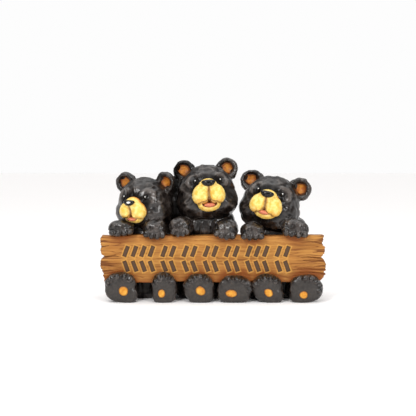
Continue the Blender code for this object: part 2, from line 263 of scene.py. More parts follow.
def coats(tree, colour, layers):
    """Lays coats of paint over a base colour, one on another.

    Each layer says what drives it, a stored mark's name or a node's output, then the drive's edges from
    no paint to full paint, the strength of the full paint, and its colour.
    """
    colour = hex_colour(colour)
    for drive, bare_edge, full_edge, strength, over in layers:
        if isinstance(drive, str):
            drive = add(tree, "ShaderNodeAttribute", {"attribute_name": drive}).outputs["Fac"]
        inputs = {0: drive, 1: bare_edge, 2: full_edge, 3: 0.0, 4: strength}
        amount = add(tree, "ShaderNodeMapRange", None, inputs).outputs[0]
        over = hex_colour(over) if isinstance(over, str) else over
        mix = add(tree, "ShaderNodeMix", {"data_type": "RGBA"}, {0: amount, 6: colour, 7: over})
        colour = mix.outputs[2]
    return colour


def board():
    """The board's face as a fine grid, its rims drawn back, and a plain back."""
    mesh = bmesh.new()
    turned_up = Matrix.Translation((0.5, 0.0, 0.5)) @ Matrix.Rotation(math.pi / 2, 4, "X")
    bmesh.ops.create_grid(
        mesh, x_segments=GRAIN_COLUMNS, y_segments=GRAIN_ROWS, size=0.5, matrix=turned_up
    )
    rim = [edge for edge in mesh.edges if edge.is_boundary]
    for _ in range(EDGE_ROWS):
        made = bmesh.ops.extrude_edge_only(mesh, edges=rim)["geom"]
        moved = [item for item in made if isinstance(item, bmesh.types.BMVert)]
        rim = [item for item in made if isinstance(item, bmesh.types.BMEdge) and item.is_boundary]
        bmesh.ops.translate(mesh, verts=moved, vec=(0.0, 1.0 / EDGE_ROWS, 0.0))
    bmesh.ops.holes_fill(mesh, edges=rim, sides=0)
    bmesh.ops.recalc_face_normals(mesh, faces=mesh.faces)
    return mesh


plank = as_piece("plank", board())
share = get_points(plank.data)
across, back, up = share.T
left_back = np.interp(up, *zip(*LEFT_END))
right_back = np.interp(up, *zip(*RIGHT_END))
splinter_at = np.column_stack((across * 0, back * PLANK_THICKNESS, up * PLANK_HEIGHT))
splinter = SPLINTER * lumps(splinter_at, (1, 0.006, 0.0016))
left_back = np.maximum(left_back + splinter, 0.0)
right_back = np.maximum(right_back - splinter, 0.0)
x = (across - 0.5) * PLANK_LENGTH
x += left_back * np.clip(1.0 - across / END_BLEND, 0.0, 1.0) ** 2
x -= right_back * np.clip(1.0 - (1.0 - across) / END_BLEND, 0.0, 1.0) ** 2
z = PLANK_LIFT + up * PLANK_HEIGHT + (2 * up - 1) * wave(x)
y = PLANK_FRONT + back * PLANK_THICKNESS
face = back < 1e-6
rim_gap = np.minimum(np.minimum(across, 1 - across) * PLANK_LENGTH, np.minimum(up, 1 - up) * PLANK_HEIGHT)
rounding = PLANK_ROUND * (1.0 - np.sqrt(1.0 - np.clip(1.0 - rim_gap / PLANK_ROUND, 0.0, 1.0) ** 2))
sway = 0.0030 * lumps(np.column_stack((x, y * 0, z)), (0.070, 1, 0.024)) + 0.0006 * np.sin(x / 0.009)
grain_at = np.column_stack((x, y, z + sway))
end_gap = np.minimum(x + PLANK_LENGTH / 2, PLANK_LENGTH / 2 - x)
torn = 1.0 + 1.6 * np.exp(-end_gap / TORN_REACH)
rings = lumps(grain_at, RING_SIZE)
fibres = 1.0 - abs(lumps(grain_at, FIBRE_SIZE, 17.3))
fine = lumps(grain_at, FINE_SIZE, 5.1)
cracks = crack_depth(x, z) * face
relief = RING_RELIEF * rings * torn - FIBRE_RELIEF * fibres ** 6 * torn + FINE_RELIEF * fine
gap = np.where(face, outside_strokes(x, z) + 0.00022 * lumps(grain_at, 0.0035, 9.0), 1.0)
carved = soft_step(gap, 0.00045, -0.00045)
y = np.where(face, y + rounding - relief * (1 - 0.8 * carved) + cracks + STROKE_DEPTH * carved, y)
top_or_bottom = (~face) & ((up < 1e-6) | (up > 1 - 1e-6))
z = np.where(top_or_bottom, z + np.sign(0.5 - up) * 0.0004 * (1 + fibres), z)
set_points(plank.data, np.column_stack((x, y, z)))
mark(plank.data, "stroke", carved)
mark(plank.data, "halo", soft_step(gap, HALO_WIDTH, 0.0002) * (1 - carved))
mark(plank.data, "height", 0.62 - 0.42 * fibres ** 8 * torn + 0.16 * fine - cracks / 0.0007)
mark(plank.data, "streak", 0.5 + 0.5 * lumps(grain_at, STREAK_SIZE, 31.0))
mark(plank.data, "stroke_edge", soft_step(gap, -0.0016, -0.0002))
plank_x, plank_z = x, z


def golden_wood_paint():
    """Acrylic washes on filled resin: golden base, brown wash left in the grain, dark umber in the strokes.

    Satin, with the brush's fine streaks along the grain, drawn 1.5 mm apart so that they show. Painted
    shade darkens it beside the paws and feet; it is also darker along its lower edge.
    """
    material, tree, shader, place = new_paint("golden_wood_acrylic_wash_on_cast_resin")
    along = add(tree, "ShaderNodeMapping", None, {"Vector": place, "Scale": (45.0, 300.0, 650.0)})
    streaks = {"Vector": along.outputs[0], "Scale": 1.0, "Detail": 3.0}
    brush_streaks_and_painted_highlight = add(tree, "ShaderNodeTexNoise", None, streaks).outputs[0]
    patches = add(tree, "ShaderNodeTexNoise", None, {"Vector": place, "Scale": 28.0, "Detail": 2.0})
    streak = add(tree, "ShaderNodeAttribute", {"attribute_name": "streak"}).outputs["Fac"]
    tone = add(tree, "ShaderNodeMath", {"operation": "MULTIPLY_ADD"}, {0: streak, 1: 0.5, 2: brush_streaks_and_painted_highlight})
    umber = coats(tree, "#574130", (("stroke_edge", 0.0, 1.0, 1.0, "#3b2a1f"),))
    colour = coats(tree, "#9a652b", (
        (tone.outputs[0], 0.45, 1.05, 1.0, "#bf8944"),
        (patches.outputs[0], 0.42, 0.66, 0.30, "#ad6a30"),
        ("height", 0.50, 0.10, 0.85, "#6a3a18"),
        ("height", 0.68, 0.98, 0.45, "#dfae66"),
        # painted shade beside the paws and feet, and darker along the lower edge
        ("painted_shade_and_low_edge", 0.0, 1.0, 1.0, "#87461b"),
        ("halo", 0.0, 1.0, 0.60, "#dea64e"),
        ("stroke", 0.0, 1.0, 1.0, umber),
    ))
    bump = add(tree, "ShaderNodeBump", None, {"Strength": 0.35, "Distance": 0.0004, "Height": brush_streaks_and_painted_highlight})
    connect(tree, shader, {
        "Base Color": colour, "Normal": bump.outputs[0], "Roughness": 0.52, "Specular IOR Level": 0.22,
    })
    return material


plank.data.materials.append(golden_wood_paint())
belongs(plank)


# The bears: three seated figures with their arms over the plank and their soles in front of it.
# Filled resin cast in one with the plank, with carved-look tufts, brown-black paint and grey dry-brushing,
# painted shading in gaps and hollows, and a painted highlight round each eye.
HEAD_HALF_WIDTH = 0.0494
HEAD_FORWARD = 0.013
BODY_HALF_WIDTH = 0.054
BODY_DEPTH = 0.080
BODY_MIDDLE = PLANK_BACK - 0.004 + BODY_DEPTH / 2
ARM_RADIUS = 0.0185
THIGH_RADIUS = 0.0270
ANKLE_RADIUS = 0.0160
FOOT_HEIGHT = 0.0484
FOOT_DEPTH = 0.022
SOLE_FRONT = PLANK_FRONT - 0.019
TOE_SPACING = 28.0
PAW_DEPTH = 0.030
PAW_OVERHANG = 0.012
TAIL_RADIUS = 0.011
FUR_GRAIN = 0.00120

# size: scale of the bear; head: across from the body's middle, above the plank's top; muzzle: its scale;
# jaw: how far the lower lip is drawn up; ears: angle of each from the head's top;
# turn: yaw to the viewer's right, pitch up, roll clockwise;
# paws: across, middle above the plank's top, width, height, lean clockwise; each foot has its ball and heel
# (across, width), height as a share, lean of its row of toes, and pad (across, up, width, height, lean)
BEARS = (
    {
        "name": "left", "x": -0.1090, "size": 0.95, "head": (-0.0018, 0.0470), "turn": (-24.0, -2.0, 0.0),
        "muzzle": 0.90, "jaw": 0.05, "ears": (49.0, 46.0),
        "paws": ((-0.0372, 0.0112, 0.0433, 0.0240, -4.0), (0.0163, 0.0090, 0.0394, 0.0325, 4.0)),
        "feet": (
            {"ball": (-0.0376, 0.0528), "heel": (-0.0270, 0.0310), "height": 1.00, "toes": -12.0,
             "pad": (-0.0326, 0.0191, 0.0145, 0.0150, 0.0)},
            {"ball": (0.0308, 0.0412), "heel": (0.0300, 0.0365), "height": 0.97, "toes": 2.0,
             "pad": (0.0273, 0.0154, 0.0115, 0.0125, 0.0)},
        ),
    },
    {
        "name": "middle", "x": -0.0080, "size": 1.00, "head": (-0.0022, 0.0645), "turn": (3.0, 11.0, -3.5),
        "muzzle": 1.00, "jaw": 0.00, "ears": (41.0, 43.0),
        "paws": ((-0.0449, 0.0130, 0.0345, 0.0300, -4.0), (0.0270, 0.0088, 0.0390, 0.0300, 12.0)),
        "feet": (
            {"ball": (-0.0148, 0.0504), "heel": (-0.0118, 0.0430), "height": 0.94, "toes": -18.0,
             "pad": (-0.0121, 0.0194, 0.0160, 0.0130, 35.0)},
            {"ball": (0.0424, 0.0571), "heel": (0.0408, 0.0500), "height": 0.88, "toes": 34.0,
             "pad": (0.0362, 0.0154, 0.0177, 0.0112, 4.0)},
        ),
    },
    {
        "name": "right", "x": 0.1040, "size": 1.00, "head": (-0.0096, 0.0470), "turn": (-12.0, 11.0, 11.5),
        "muzzle": 1.00, "jaw": 0.11, "ears": (53.0, 50.0),
        "paws": ((-0.0413, 0.0060, 0.0405, 0.0285, 3.0), (0.0262, 0.0108, 0.0450, 0.0295, 8.0)),
        "feet": (
            {"ball": (-0.0184, 0.0492), "heel": (-0.0101, 0.0345), "height": 0.93, "toes": -14.0,
             "pad": (-0.0169, 0.0164, 0.0146, 0.0116, 42.0)},
            {"ball": (0.0435, 0.0539), "heel": (0.0359, 0.0360), "height": 0.90, "toes": 46.0,
             "pad": (0.0381, 0.0131, 0.0125, 0.0115, 0.0)},
        ),
    },
)

# The fill of resin between the left and the middle bear
LEAN_X = (BEARS[0]["x"] + BEARS[0]["head"][0] + BEARS[1]["x"] + BEARS[1]["head"][0]) / 2
LEAN_LIFT = 0.046
LEAN_HALF = (0.017, 0.022, 0.046)

# Skull and cheeks, in shares of the head's half width
SKULL_HALF = (0.94, 0.87, 0.92)
CHEEK_AT = (0.34, -0.08, -0.26)
CHEEK_HALF = (0.66, 0.68, 0.62)

# Carved hair on each part: how far apart its ridges are, how long they are and how high
TUFTS = {
    "body": (0.0034, 0.0130, 0.00070),
    "head": (0.0040, 0.0130, 0.00042),
    "ears": (0.0024, 0.0080, 0.00042),
    "paws": (0.0026, 0.0052, 0.00075),
    "feet": (0.0032, 0.0060, 0.00050),
}
SOLE_HAIR = 0.00009

# Round each eye: radius, width and height of a ridge and of a groove, radius and depth of the socket
EYE_RIDGE = (0.0112, 0.0024, 0.0009)
EYE_GROOVE = (0.0155, 0.0013, 0.0006)
EYE_SOCKET = (0.0054, 0.0012)


def turned(yaw, pitch, roll):
    """Rotation of a head or limb: roll about its own facing, tip up, then turn about the vertical."""
    return (
        Matrix.Rotation(math.radians(yaw), 4, "Z")
        @ Matrix.Rotation(math.radians(-pitch), 4, "X")
        @ Matrix.Rotation(math.radians(roll), 4, "Y")
    )


def ball(mesh, frame_of, centre, radii, detail=(40, 26), square=2.0, flare=0.0):
    """An egg in the given frame. square above 2 flattens its sides; flare widens it towards its top."""
    made = bmesh.ops.create_uvsphere(mesh, u_segments=detail[0], v_segments=detail[1], radius=1.0)["verts"]
    for vertex in made:
        reach = sum(abs(part) ** square for part in vertex.co) ** (1.0 / square)
        x, y, z = vertex.co / reach
        x *= 1.0 + flare * z
        vertex.co = frame_of @ (Vector(centre) + Vector((x * radii[0], y * radii[1], z * radii[2])))


def limb(mesh, start, end, start_radius, end_radius):
    """A tapered limb with round ends: the two halves of a ball drawn apart."""
    start, end = Vector(start), Vector(end)
    facing = (end - start).to_track_quat("Z", "Y").to_matrix().to_4x4()
    made = bmesh.ops.create_uvsphere(mesh, u_segments=40, v_segments=24, radius=1.0)["verts"]
    for vertex in made:
        far = vertex.co.z > -1e-6
        middle, radius = (end, end_radius) if far else (start, start_radius)
        vertex.co = middle + (facing @ vertex.co) * radius


# Half of an ear's section, as shares of its radius: out from its middle, and back from its front
EAR_SECTION = (
    (0.00, 0.04), (0.34, 0.00), (0.50, -0.12), (0.62, -0.31), (0.82, -0.36), (0.96, -0.20),
    (1.00, 0.02), (0.86, 0.26), (0.50, 0.38), (0.00, 0.42),
)
EAR_RADIUS = 0.39
EAR_DISH_SHIFT = 0.12
EYE_AT = (0.405, -0.69, 0.30)


def spun(mesh, section, frame_of, radius, shift):
    """A section spun into a round body about its own Y axis, its front moved towards its free edge, +Z."""
    profile = [mesh.verts.new((out * radius, back * radius, 0.0)) for out, back in section]
    edges = [mesh.edges.new(pair) for pair in zip(profile, profile[1:])]
    before = set(mesh.verts) - set(profile)
    bmesh.ops.spin(
        mesh, geom=profile + edges, cent=(0, 0, 0), axis=(0, 1, 0),
        angle=2 * math.pi, steps=48, use_merge=True,
    )
    made = [vertex for vertex in mesh.verts if vertex not in before]
    bmesh.ops.remove_doubles(mesh, verts=made, dist=radius * 0.001)
    made = [vertex for vertex in mesh.verts if vertex not in before]
    faces = {face for vertex in made for face in vertex.link_faces}
    bmesh.ops.recalc_face_normals(mesh, faces=list(faces))
    for vertex in made:
        out = math.hypot(vertex.co.x, vertex.co.z) / radius
        if vertex.co.y < 0.1 * radius and out < 0.7:
            vertex.co.z += shift * radius
        vertex.co = frame_of @ vertex.co


def head_frame(bear):
    """Where a head sits and how it is turned, in shares of its half width."""
    across, lift = bear["head"]
    place = Matrix.Translation((bear["x"] + across, BODY_MIDDLE - HEAD_FORWARD, PLANK_TOP + lift))
    return place @ turned(*bear["turn"]) @ Matrix.Scale(HEAD_HALF_WIDTH * bear["size"], 4)


def ear_frames(bear):
    """Where the two ears sit, in shares of the head's half width."""
    for side, lean in zip((-1, 1), bear["ears"]):
        out = math.radians(lean)
        spot = Matrix.Translation((side * 1.03 * math.sin(out), 0.14, 1.03 * math.cos(out)))
        yield head_frame(bear) @ spot @ turned(-3.0 * side, 3.0, side * lean)


def muzzle_frame(bear):
    """The head's frame, drawn in towards the middle of the face where the muzzle is smaller."""
    middle = Matrix.Translation((0, -0.60, -0.02))
    return head_frame(bear) @ middle @ Matrix.Scale(bear["muzzle"], 4) @ middle.inverted()


def paw_frame(bear, paw):
    """The middle of a forepaw, turned as the paw lies."""
    across, lift, _, _, lean = paw
    middle = (bear["x"] + across, PLANK_FRONT - PAW_OVERHANG + PAW_DEPTH / 2, PLANK_TOP + lift)
    return Matrix.Translation(middle) @ turned(0, 0, lean)


def foot_frame(bear, foot):
    """The ground under the ball of a foot."""
    return Matrix.Translation((bear["x"] + foot["ball"][0], SOLE_FRONT + FOOT_DEPTH / 2, 0.0))


def add_head(mesh, bear):
    """Skull, cheeks and ears."""
    skull = head_frame(bear)
    ball(mesh, skull, (0, 0, 0), SKULL_HALF)
    ball(mesh, muzzle_frame(bear), (0, -0.72, -0.04), (0.38, 0.40, 0.34))
    for side in (-1, 1):
        ball(mesh, skull, (side * CHEEK_AT[0], *CHEEK_AT[1:]), CHEEK_HALF)
    for ear in ear_frames(bear):
        spun(mesh, EAR_SECTION, ear, EAR_RADIUS, EAR_DISH_SHIFT)


def add_body(mesh, bear):
    """Hips, chest, shoulders and tail."""
    half = BODY_HALF_WIDTH * bear["size"]
    deep = BODY_DEPTH / 2
    trunk = Matrix.Translation((bear["x"], BODY_MIDDLE, 0))
    shoulder = PLANK_TOP + bear["head"][1] - 0.70 * HEAD_HALF_WIDTH * bear["size"]
    ball(mesh, trunk, (0, 0, 0.30 * shoulder), (half, deep, 0.44 * shoulder), square=2.4)
    ball(mesh, trunk, (0, 0.002, 0.56 * shoulder), (0.92 * half, 0.94 * deep, 0.44 * shoulder), square=2.3)
    ball(mesh, trunk, (0, 0.000, 0.84 * shoulder), (0.84 * half, 0.84 * deep, 0.26 * shoulder), square=2.3)
    ball(mesh, trunk, (bear["head"][0] * 0.6, 0, shoulder), (0.66 * half, 0.76 * deep, 0.36 * half))
    ball(mesh, trunk, (0, deep, 0.28 * shoulder), (TAIL_RADIUS, 0.8 * TAIL_RADIUS, 1.2 * TAIL_RADIUS))


def add_forepaw(mesh, bear, side, paw):
    """An arm laid over the plank's top edge, with a broad round paw and four short toes."""
    _, lift, width, height, _ = paw
    palm_at = paw_frame(bear, paw)
    reach = 0.58 * BODY_HALF_WIDTH * bear["size"]
    shoulder = Vector((bear["x"] + side * reach, BODY_MIDDLE - 0.05 * BODY_DEPTH, PLANK_TOP + 0.6 * lift))
    wrist = palm_at.translation + Vector((0, 0.35 * PAW_DEPTH, 0))
    limb(mesh, shoulder, wrist, ARM_RADIUS, 0.48 * height)
    palm = (0.48 * width, 0.47 * PAW_DEPTH, 0.48 * height)
    ball(mesh, palm_at, (0, 0, 0.01 * height), palm, square=2.3)
    for number in range(4):
        step = (number - 1.5) / 1.5
        toe = (step * 0.33 * width, -0.32 * PAW_DEPTH, (0.08 * abs(step) - 0.30) * height)
        ball(mesh, palm_at, toe, (0.13 * width, 0.16 * width, 0.20 * height), (20, 14))


def toe_frames(bear, foot):
    """Where the five toes sit along the top of a sole."""
    tall = FOOT_HEIGHT * foot["height"]
    half = 0.485 * foot["ball"][1]
    for number in range(5):
        angle = math.radians((number - 2) * TOE_SPACING + foot["toes"])
        spot = (0.80 * half * math.sin(angle), -0.20 * FOOT_DEPTH, (0.50 + 0.38 * math.cos(angle)) * tall)
        yield foot_frame(bear, foot) @ Matrix.Translation(spot) @ Matrix.Rotation(0.9 * angle, 4, "Y")


def add_foot(mesh, bear, side, foot):
    """A leg under the plank, and a foot whose flat sole with its toes faces the viewer."""
    thick = FOOT_DEPTH / 2
    tall = FOOT_HEIGHT * foot["height"]
    place = foot_frame(bear, foot)
    hip_across = side * 0.52 * BODY_HALF_WIDTH * bear["size"]
    hip = (bear["x"] + hip_across, BODY_MIDDLE - 0.2 * BODY_DEPTH, 0.7 * THIGH_RADIUS)
    limb(mesh, hip, place.translation + Vector((0, 0.6 * thick, 0.42 * tall)), THIGH_RADIUS, ANKLE_RADIUS)
    half = 0.485 * foot["ball"][1]
    ball(mesh, place, (0, 0, 0.50 * tall), (half, thick, 0.50 * tall), square=2.3)
    heel = (foot["heel"][0] - foot["ball"][0], 0, 0.26 * tall)
    ball(mesh, place, heel, (0.5 * foot["heel"][1], 0.97 * thick, 0.32 * tall), square=2.7)
    for toe in toe_frames(bear, foot):
        ball(mesh, toe, (0, 0, 0), (0.20 * half, 0.70 * thick, 0.13 * tall), (20, 14))


def settled(piece):
    """The mesh of a piece with its modifiers applied. The piece itself goes."""
    made = bpy.data.meshes.new_from_object(piece.evaluated_get(bpy.context.evaluated_depsgraph_get()))
    old = piece.data
    bpy.data.objects.remove(piece)
    bpy.data.meshes.remove(old)
    return made


def blended(name, mesh, grain, softening):
    """One smooth skin over overlapping shapes."""
    rough = as_piece(name, mesh)
    skin = rough.modifiers.new("skin", "REMESH")
    skin.mode = "VOXEL"
    skin.voxel_size = grain
    soften = rough.modifiers.new("soften", "SMOOTH")
    soften.factor = 0.5
    soften.iterations = softening
    return settled(rough)


def local(frame_of, places):
    """Places seen from a frame, in that frame's own shares."""
    inverse = np.array(frame_of.inverted())
    return places @ inverse[:3, :3].T + inverse[:3, 3]


def tufts(at, across, along, shift=0.0):
    """Carved hair: sharp little ridges, that far apart and that long, along the frame's Z axis."""
    wander = 0.7 * across * lumps(at, along * 0.8, shift + 3.0)
    at = at + wander[:, None] * np.array((1.0, 1.0, 0.0))
    sharp = 1.0 - 2.0 * abs(lumps(at, (across, across, along), shift))
    return 0.7 * sharp + 0.3 * lumps(at, (across * 0.6, across * 0.6, along * 0.5), shift + 8.0)


def lay_hair(part, at, share, hair, strength, shift):
    """Lays one part's own hair over what is there, by a share at each place."""
    across, along, high = TUFTS[part]
    hair += (tufts(at, across, along, shift) - hair) * share
    strength += (high - strength) * share


def carve_head(seen, size, depth, hair, strength, brush_streaks_and_painted_highlight, painted_shading):
    """Hair swept back from the face, with a carved socket round each eye and a ridge over it. Painted
    shading darkens the head's top and the sockets, and a painted highlight lightens the ridge.
    """
    ridge_at, ridge_wide, ridge_high = EYE_RIDGE
    groove_at, groove_wide, groove_deep = EYE_GROOVE
    reach = np.linalg.norm(seen, axis=1)
    on_head = soft_step(reach, 1.35, 1.12) * soft_step(seen[:, 2], -1.02, -0.86)
    turn = np.arctan2(seen[:, 2], seen[:, 0])
    fan = np.arccos(np.clip(-seen[:, 1] / np.maximum(reach, 1e-6), -1, 1))
    swept = np.column_stack((np.cos(turn), np.sin(turn), np.zeros(len(turn)))) * 0.62 * size
    swept[:, 2] = fan * size
    lay_hair("head", swept, on_head, hair, strength, 4.0)
    # Painted shade: the tops of the heads are darkened
    painted_shading += 0.28 * on_head * soft_step(seen[:, 2], 0.40, 0.75)
    for side in (-1, 1):
        across, up = (seen[:, 0] - side * EYE_AT[0]) * size, (seen[:, 2] - EYE_AT[2]) * size
        gap = np.hypot(across, up)
        front = on_head * (seen[:, 1] < -0.3)
        outer = 0.5 + 0.5 * np.clip((side * across + 0.8 * up - 0.002) / 0.005, -1, 1)
        arc = np.exp(-((gap - ridge_at) / ridge_wide) ** 2) * front * outer
        depth += ridge_high * arc
        # Painted highlight: the arc over the outer side of each eye is lightened
        brush_streaks_and_painted_highlight += arc
        depth -= groove_deep * np.exp(-((gap - groove_at) / groove_wide) ** 2) * front * outer
        depth -= EYE_SOCKET[1] * np.exp(-(gap / EYE_SOCKET[0]) ** 2) * front
        # Painted shade: each eye socket is darker and duller
        painted_shading += 0.7 * np.exp(-(gap / 0.0058) ** 4) * front
        strength *= 1 - 0.8 * np.exp(-(gap / 0.006) ** 2) * front - 0.35 * arc
    return on_head


def carve_ears(places, bear, depth, hair, strength):
    """Short hair out over each ear's rim, and a smooth dish inside it."""
    radius = EAR_RADIUS * HEAD_HALF_WIDTH * bear["size"]
    for ear in ear_frames(bear):
        near = local(ear, places) / EAR_RADIUS
        out = np.hypot(near[:, 0], near[:, 2])
        on_ear = soft_step(out, 1.25, 1.1) * soft_step(abs(near[:, 1]), 0.75, 0.6)
        turn = np.arctan2(near[:, 2], near[:, 0])
        rim = np.column_stack((turn * radius, near[:, 1] * 0.3 * radius, (out + near[:, 1]) * radius))
        lay_hair("ears", rim, on_ear, hair, strength, 31.0)
        dish = soft_step(np.hypot(near[:, 0], near[:, 2] - EAR_DISH_SHIFT), 0.60, 0.46)
        inside = dish * (near[:, 1] < 0.15) * (near[:, 1] > -0.5)
        depth *= 1 - inside
        strength *= 1 - inside


def carve_paws(places, bear, depth, hair, strength):
    """Deep tufts over each forepaw and creases between its toes."""
    for paw in bear["paws"]:
        width, height = paw[2:4]
        near = local(paw_frame(bear, paw), places)
        inside = np.linalg.norm(near / (0.5 * width, 0.55 * PAW_DEPTH, 0.5 * height), axis=1)
        on_paw = soft_step(inside, 1.45, 1.15)
        lay_hair("paws", near, on_paw, hair, strength, 11.0)
        for number in range(3):
            crease = abs(near[:, 0] - (number - 1) * 0.22 * width)
            low = soft_step(near[:, 2] / height, -0.14, -0.26) * on_paw * (near[:, 1] < 0.004)
            depth -= 0.0008 * np.exp(-(crease / 0.0008) ** 2) * low


def carve_feet(places, bear, depth, hair, strength):
    """Tufts over the toes and round the foot. Gives how far each place is on the flat of a sole."""
    sole = np.zeros(len(places))
    thick = FOOT_DEPTH / 2
    for foot in bear["feet"]:
        tall = FOOT_HEIGHT * foot["height"]
        half = 0.485 * foot["ball"][1]
        near = local(foot_frame(bear, foot), places)
        heel_across = near[:, 0] - foot["heel"][0] + foot["ball"][0]
        in_ball = np.hypot(near[:, 0] / half, near[:, 2] / (0.5 * tall) - 1.0)
        in_heel = np.hypot(heel_across / (0.5 * foot["heel"][1]), near[:, 2] / (0.32 * tall) - 0.8)
        inside = np.minimum(in_ball, in_heel)
        on_foot = soft_step(inside, 1.25, 1.08) * soft_step(near[:, 1], 1.6 * thick, 1.0 * thick)
        on_toe = np.zeros(len(places))
        for toe in toe_frames(bear, foot):
            off = local(toe, places)
            off = np.hypot(off[:, 0] / (0.20 * half), off[:, 2] / (0.13 * tall))
            on_toe = np.maximum(on_toe, soft_step(off, 1.15, 0.95))
        front = near[:, 1] < -0.35 * thick
        flat = soft_step(inside, 0.93, 0.85) * front * (1 - on_toe) * on_foot
        ray = np.arctan2(near[:, 0] / half, near[:, 2] / (0.5 * tall) - 0.9)
        around = np.column_stack((ray * 0.020, near[:, 1], inside * 0.022))
        lay_hair("feet", around, on_foot, hair, strength, 21.0)
        strength += (SOLE_HAIR - TUFTS["feet"][2]) * flat * on_foot
        depth *= 1 - 0.5 * flat
        sole = np.maximum(sole, flat)
    return sole


def carve_fur(mesh, bear):
    """Cuts the carved-look hair into a bear's skin, and marks what its paint reads."""
    places = get_points(mesh)
    normals = get_normals(mesh)
    size = HEAD_HALF_WIDTH * bear["size"]
    depth = 0.00130 * lumps(places, 0.0105, 2.0) + 0.00075 * lumps(places, 0.0058, 14.0)
    across, along, high = TUFTS["body"]
    hair = tufts(places, across, along)
    strength = np.full(len(places), high)
    brush_streaks_and_painted_highlight = np.zeros(len(places))
    painted_shading = np.zeros(len(places))
    on_head = carve_head(local(head_frame(bear), places), size, depth, hair, strength, brush_streaks_and_painted_highlight, painted_shading)
    carve_ears(places, bear, depth, hair, strength)
    carve_paws(places, bear, depth, hair, strength)
    sole = carve_feet(places, bear, depth, hair, strength)
    moved = depth + strength * hair
    steady = soft_step(places[:, 2], 0.0, 0.004)
    set_points(mesh, places + normals * (moved * steady)[:, None])
    crest = 0.5 * hair * np.sqrt(strength / high)
    # Grey dry-brushing on the crests, plus the painted highlight on the arc over each eye
    mark(mesh, "ridge", 0.5 + crest + 0.18 * depth / 0.0010 + 0.45 * brush_streaks_and_painted_highlight)
    mark(mesh, "sole", sole)
    # Painted shading: in the gap between the left and middle bear, under the plank behind the feet, and
    # round each muzzle
    between = np.exp(-((places[:, 0] - LEAN_X) / 0.009) ** 2) * (places[:, 2] > PLANK_TOP)
    between *= soft_step(places[:, 1], -0.016, -0.006)
    under = soft_step(places[:, 2], PLANK_LIFT + 0.006, PLANK_LIFT - 0.004)
    under *= soft_step(places[:, 1], SOLE_FRONT + 0.8 * FOOT_DEPTH, SOLE_FRONT + 1.2 * FOOT_DEPTH)
    under *= places[:, 1] < PLANK_BACK
    beside = local(muzzle_frame(bear), places) - (0, -0.86, -0.08)
    beside = soft_step(np.linalg.norm(beside / (0.66, 0.62, 0.72), axis=1), 1.0, 0.8)
    mark(mesh, "painted_shading", np.maximum(np.maximum(between, 0.8 * under), np.maximum(painted_shading, 0.75 * beside)))
    mark(mesh, "worn", 0.5 + 0.5 * lumps(places, 0.017, 6.0) - 0.35 * on_head)


def cut_ground(mesh):
    """Flat underside at the ground."""
    work = bmesh.new()
    work.from_mesh(mesh)
    geometry = work.verts[:] + work.edges[:] + work.faces[:]
    cut = bmesh.ops.bisect_plane(
        work, geom=geometry, dist=1e-6, plane_co=(0, 0, 0), plane_no=(0, 0, 1), clear_inner=True
    )["geom_cut"]
    rim = [item for item in cut if isinstance(item, bmesh.types.BMEdge)]
    bmesh.ops.holes_fill(work, edges=rim, sides=0)
    work.to_mesh(mesh)
    work.free()


def black_bear_paint():
    """Brown-black acrylic on filled resin, dry-brushed with grey on the ridges and sealed with varnish,
    with a painted highlight on the arc over each eye.

    The varnish gives the small bright glints on the tufts; the soles are the flatter grey-brown. Painted
    shading darkens and dulls the gaps, the head tops, the eye sockets and the skin round the muzzles.
    """
    material, tree, shader, place = new_paint("brown_black_acrylic_dry_brushed_under_varnish")
    speckle = {"Vector": place, "Scale": 260.0, "Detail": 4.0}
    mottle = add(tree, "ShaderNodeTexNoise", None, speckle).outputs[0]
    sole = coats(tree, "#241f1b", ((mottle, 0.35, 0.70, 1.0, "#37312d"),))
    colour = coats(tree, "#0d0908", (
        ("ridge", 0.30, 0.62, 1.0, "#211a16"),
        # grey dry-brushing on the crests, and the painted highlight over each eye
        ("ridge", 0.68, 1.05, 0.75, "#665e59"),
        ("worn", 0.55, 0.95, 0.40, "#2c1f19"),
        ("sole", 0.0, 1.0, 1.0, sole),
        # painted shading in the gaps, under the plank, on the head tops, in the sockets and round the
        # muzzles
        ("painted_shading", 0.0, 1.0, 1.0, "#080605"),
    ))
    bump = add(tree, "ShaderNodeBump", None, {"Strength": 0.35, "Distance": 0.0004, "Height": mottle})
    connect(tree, shader, {"Base Color": colour, "Normal": bump.outputs[0], "Coat Roughness": 0.17})
    for name, socket, bare, full in (
        ("sole", "Roughness", 0.30, 0.55),
        # the painted shading also dulls the reflections where it lies
        ("painted_shading", "Specular IOR Level", 0.45, 0.05),
        ("painted_shading", "Coat Weight", 0.26, 0.0),
    ):
        drive = add(tree, "ShaderNodeAttribute", {"attribute_name": name}).outputs["Fac"]
        level = add(tree, "ShaderNodeMapRange", None, {0: drive, 1: 0.0, 2: 1.0, 3: bare, 4: full})
        connect(tree, shader, {socket: level.outputs[0]})
    return material


fur_paint = black_bear_paint()
for bear in BEARS:
    shapes = bmesh.new()
    add_head(shapes, bear)
    add_body(shapes, bear)
    for side, paw, foot in zip((-1, 1), bear["paws"], bear["feet"]):
        add_forepaw(shapes, bear, side, paw)
        add_foot(shapes, bear, side, foot)
    if bear["name"] == "middle":
        lean_at = (LEAN_X, BODY_MIDDLE, PLANK_TOP + LEAN_LIFT)
        ball(shapes, Matrix.Translation(lean_at), (0, 0, 0), LEAN_HALF)
    skin = blended(bear["name"] + "_bear", shapes, FUR_GRAIN, 3)
    carve_fur(skin, bear)
    cut_ground(skin)
    piece = as_piece(bear["name"] + "_bear", skin)
    piece.data.materials.append(fur_paint)
    belongs(piece)

